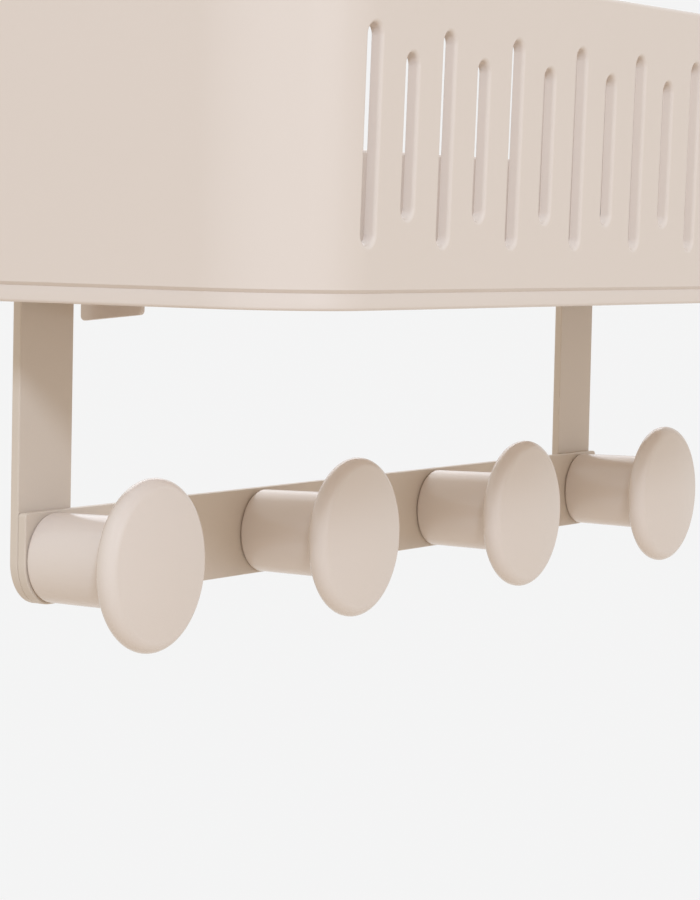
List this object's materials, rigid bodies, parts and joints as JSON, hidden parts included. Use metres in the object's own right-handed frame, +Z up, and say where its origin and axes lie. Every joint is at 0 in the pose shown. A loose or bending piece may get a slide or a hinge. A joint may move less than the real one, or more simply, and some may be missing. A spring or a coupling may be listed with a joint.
{
  "type": "shower shelf",
  "caption": "Wall-hung shower shelf: a slotted tray with a drained floor on flat straps, with a rail of round towel knobs below.",
  "frame": {"origin": "on the wall plane, midway between the two keyholes, at the height of the wall screws that hold the shelf", "axes": "+X along the wall to the right as seen from the room, +Y into the wall, +Z up"},
  "size_m": [0.2868, 0.0768, 0.1255],
  "materials": {
    "sand_plastic": "smooth satin moulding in a warm sand colour",
    "sand_paint": "satin powder coat in the same sand colour over flat steel strip",
    "stainless": "plain stainless screw",
    "brass": "plain turned brass"
  },
  "bodies": {
    "root": {"tray_wall": "sand_plastic", "tray_base": "sand_plastic", "strap_left": "sand_paint", "strap_right": "sand_paint", "hook_rail": "sand_paint", "knob_1": "sand_plastic", "knob_2": "sand_plastic", "knob_3": "sand_plastic", "knob_4": "sand_plastic", "knob_insert_1": "brass", "knob_insert_2": "brass", "knob_insert_3": "brass", "knob_insert_4": "brass", "knob_screw_1": "stainless", "knob_screw_2": "stainless", "knob_screw_3": "stainless", "knob_screw_4": "stainless", "tray_screw_1": "stainless", "tray_screw_2": "stainless", "tray_screw_3": "stainless", "tray_screw_4": "stainless"}
  },
  "joints": []
}
